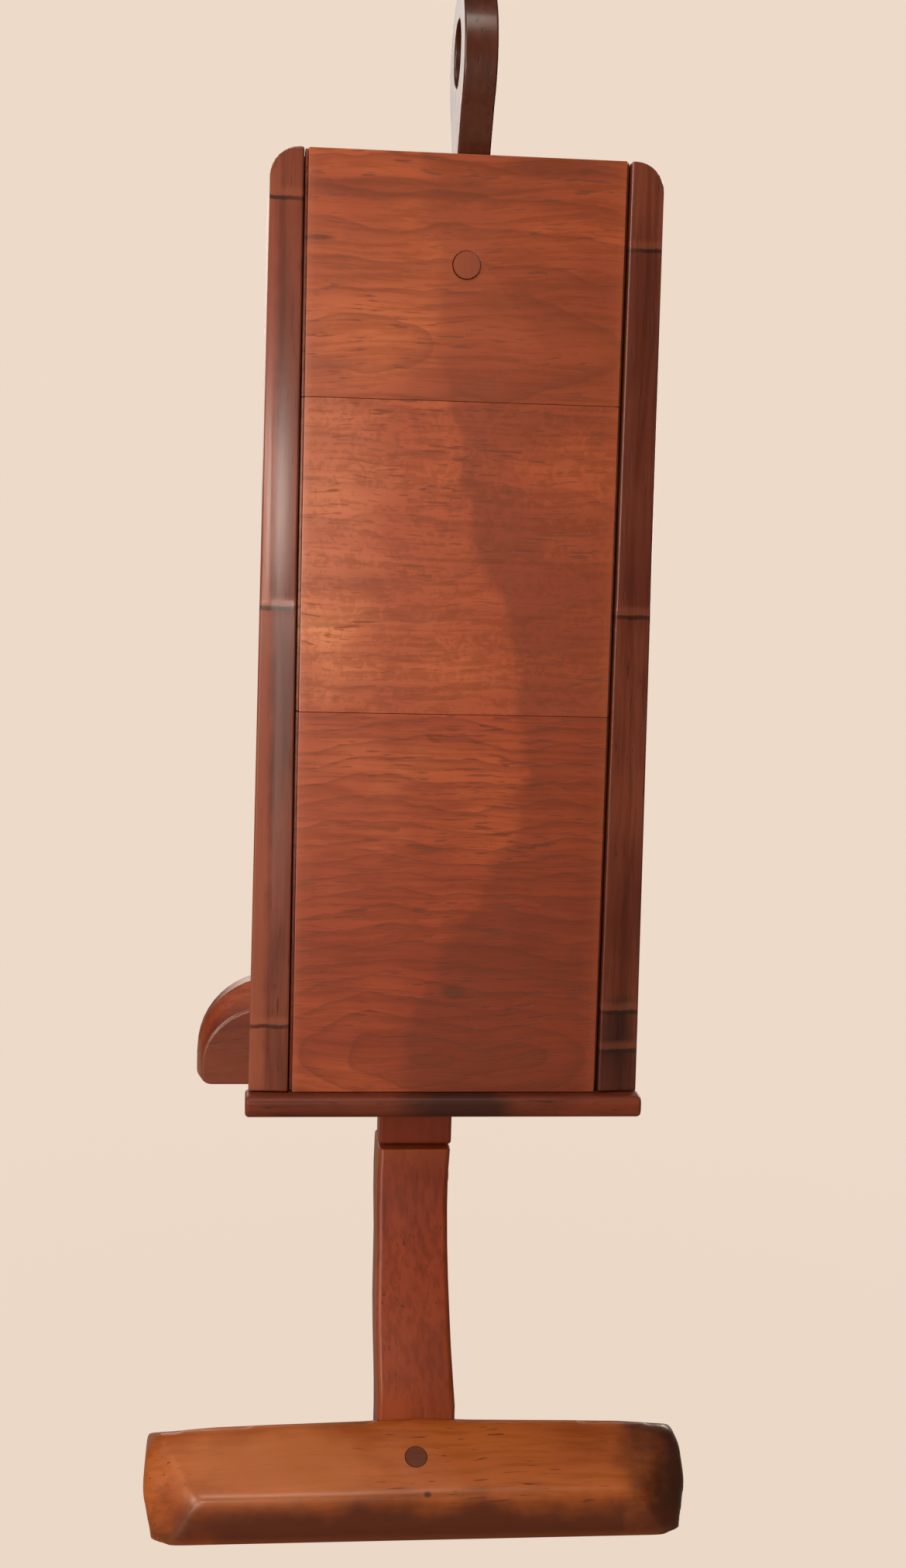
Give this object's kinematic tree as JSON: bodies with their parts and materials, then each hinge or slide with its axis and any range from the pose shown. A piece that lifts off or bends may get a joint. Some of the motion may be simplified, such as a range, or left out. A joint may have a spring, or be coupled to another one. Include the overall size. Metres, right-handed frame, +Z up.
{
  "type": "mug tree",
  "caption": "Free-standing wooden mug tree: a hollow box column on a raked leg and a hipped foot bar, ring handle on top, peg boards behind.",
  "frame": {"origin": "on the floor, under the middle of the foot bar", "axes": "+Z up, -Y towards the plain front of the column, +Y the way the pegs point, +X to the right seen from the front"},
  "size_m": [0.1966, 0.1923, 0.523],
  "materials": {
    "column_wood": "varnished",
    "strip_bamboo": "varnished",
    "leg_wood": "varnished",
    "foot_wood": "varnished",
    "plug_wood": "varnished",
    "inner_wood": "bare",
    "screw_steel": "plain"
  },
  "bodies": {
    "root": {"front_board_lower": "column_wood", "front_board_middle": "column_wood", "front_board_upper": "column_wood", "left_side": "column_wood", "right_side": "column_wood", "back_board": "column_wood", "top_board": "column_wood", "bottom_board": "column_wood", "lower_arm": "column_wood", "middle_arm": "column_wood", "upper_arm": "column_wood", "left_strip": "strip_bamboo", "right_strip": "strip_bamboo", "base_moulding": "strip_bamboo", "ring_handle": "strip_bamboo", "leg": "leg_wood", "spine": "leg_wood", "foot_bar": "foot_wood", "lower_peg_left": "foot_wood", "lower_peg_right": "foot_wood", "middle_peg_left": "foot_wood", "middle_peg_right": "foot_wood", "upper_peg_left": "foot_wood", "upper_peg_right": "foot_wood", "foot_plug": "plug_wood", "panel_plug": "plug_wood", "leg_pin": "plug_wood", "ring_pin": "plug_wood", "lower_arm_plug": "plug_wood", "middle_arm_plug": "plug_wood", "upper_arm_plug": "plug_wood", "lower_rail": "inner_wood", "upper_rail": "inner_wood", "foot_screw": "screw_steel", "panel_screw": "screw_steel", "lower_arm_screw": "screw_steel", "middle_arm_screw": "screw_steel", "upper_arm_screw": "screw_steel"}
  },
  "joints": []
}
